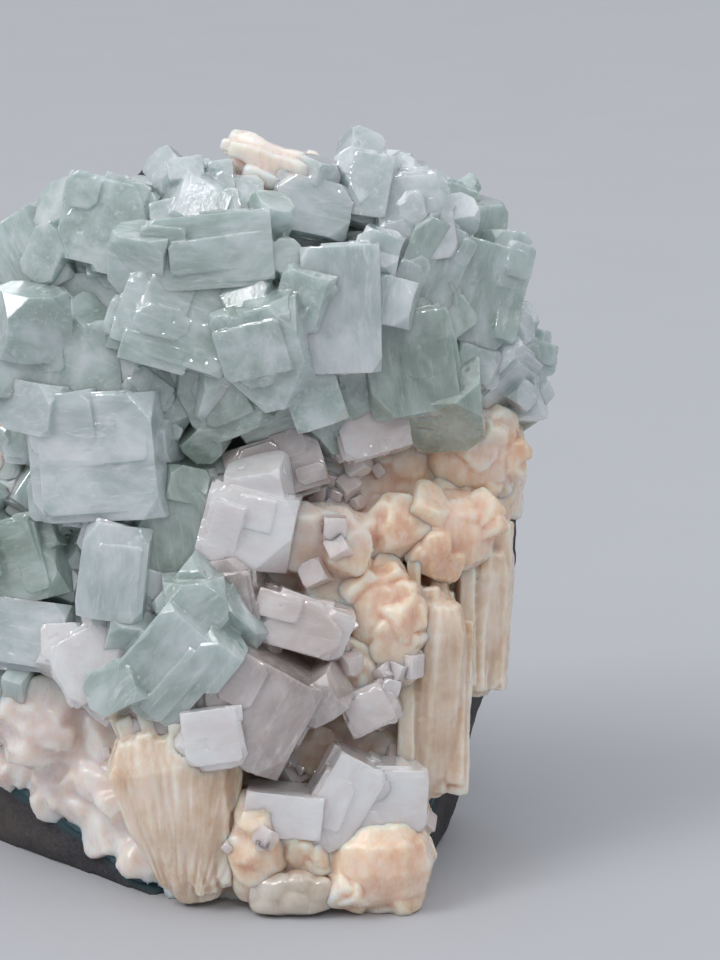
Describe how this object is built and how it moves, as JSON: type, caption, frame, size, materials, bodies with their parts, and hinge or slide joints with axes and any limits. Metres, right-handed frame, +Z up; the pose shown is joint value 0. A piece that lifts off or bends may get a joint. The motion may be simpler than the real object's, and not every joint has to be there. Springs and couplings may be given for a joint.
{
  "type": "apophyllite specimen",
  "caption": "Free-standing mineral specimen: interlocking green and colourless apophyllite crystals on a peach stilbite crust lining basalt, sawn flat to stand.",
  "frame": {"origin": "on the sawn base plane, below the middle of the bounding box", "axes": "+Z up from the base, -Y the way the crystal face looks, +X to the right seen from the front"},
  "size_m": [0.0808, 0.0628, 0.0963],
  "materials": {
    "basalt": "matte, finely pitted",
    "celadonite": "earthy, matte",
    "stilbite": "waxy to pearly, slightly translucent",
    "calcite": "glassy, translucent",
    "green_apophyllite": "glassy, milky inside",
    "blush_apophyllite": "glassy, milky inside"
  },
  "bodies": {
    "root": {"basalt_matrix": "basalt", "base_calcite": "calcite", "blush_apophyllite_barrel": "blush_apophyllite", "blush_apophyllite_bright_block": "blush_apophyllite", "blush_apophyllite_brown": "blush_apophyllite", "blush_apophyllite_centre": "blush_apophyllite", "blush_apophyllite_clear_ledge": "blush_apophyllite", "blush_apophyllite_front_pair": "blush_apophyllite", "blush_apophyllite_grey_large": "blush_apophyllite", "blush_apophyllite_grey_ledge": "blush_apophyllite", "blush_apophyllite_leaning": "blush_apophyllite", "blush_apophyllite_long_ledge": "blush_apophyllite", "blush_apophyllite_pink_fold": "blush_apophyllite", "blush_apophyllite_small_clear": "blush_apophyllite", "blush_apophyllite_striated": "blush_apophyllite", "celadonite_lining": "celadonite", "green_apophyllite_crown_broad": "green_apophyllite", "green_apophyllite_crown_clear": "green_apophyllite", "green_apophyllite_crown_far_left": "green_apophyllite", "green_apophyllite_crown_grey": "green_apophyllite", "green_apophyllite_crown_left": "green_apophyllite", "green_apophyllite_crown_long": "green_apophyllite", "green_apophyllite_crown_pale": "green_apophyllite", "green_apophyllite_crown_peak": "green_apophyllite", "green_apophyllite_crown_recess": "green_apophyllite", "green_apophyllite_crown_roof": "green_apophyllite", "green_apophyllite_crown_shade": "green_apophyllite", "green_apophyllite_crown_slant": "green_apophyllite", "green_apophyllite_crown_smoky": "green_apophyllite", "green_apophyllite_crown_striated": "green_apophyllite", "green_apophyllite_crown_tall": "green_apophyllite", "green_apophyllite_crown_under": "green_apophyllite", "green_apophyllite_hollow_bladed": "green_apophyllite", "green_apophyllite_hollow_deep": "green_apophyllite", "green_apophyllite_left_block": "green_apophyllite", "green_apophyllite_left_round": "green_apophyllite", "green_apophyllite_left_upper": "green_apophyllite", "green_apophyllite_left_wedge": "green_apophyllite", "green_apophyllite_lower_left": "green_apophyllite", "green_apophyllite_lower_middle": "green_apophyllite", "green_apophyllite_lower_pale": "green_apophyllite", "green_apophyllite_lower_rose": "green_apophyllite", "green_apophyllite_lower_tall": "green_apophyllite", "green_apophyllite_lower_wedge": "green_apophyllite", "green_apophyllite_shoulder_back": "green_apophyllite", "green_apophyllite_shoulder_bright": "green_apophyllite", "green_apophyllite_shoulder_edge": "green_apophyllite", "green_apophyllite_shoulder_facet": "green_apophyllite", "green_apophyllite_shoulder_large": "green_apophyllite", "stilbite_crust": "stilbite", "stilbite_edge_pillar": "stilbite", "stilbite_fan": "stilbite", "stilbite_foot_ball": "stilbite", "stilbite_foot_lobe": "stilbite", "stilbite_left_sheaf": "stilbite", "stilbite_middle_pillar": "stilbite", "stilbite_right_ball": "stilbite", "stilbite_right_pillar": "stilbite", "stilbite_top_blade": "stilbite", "stilbite_upper_mass": "stilbite"}
  },
  "joints": []
}
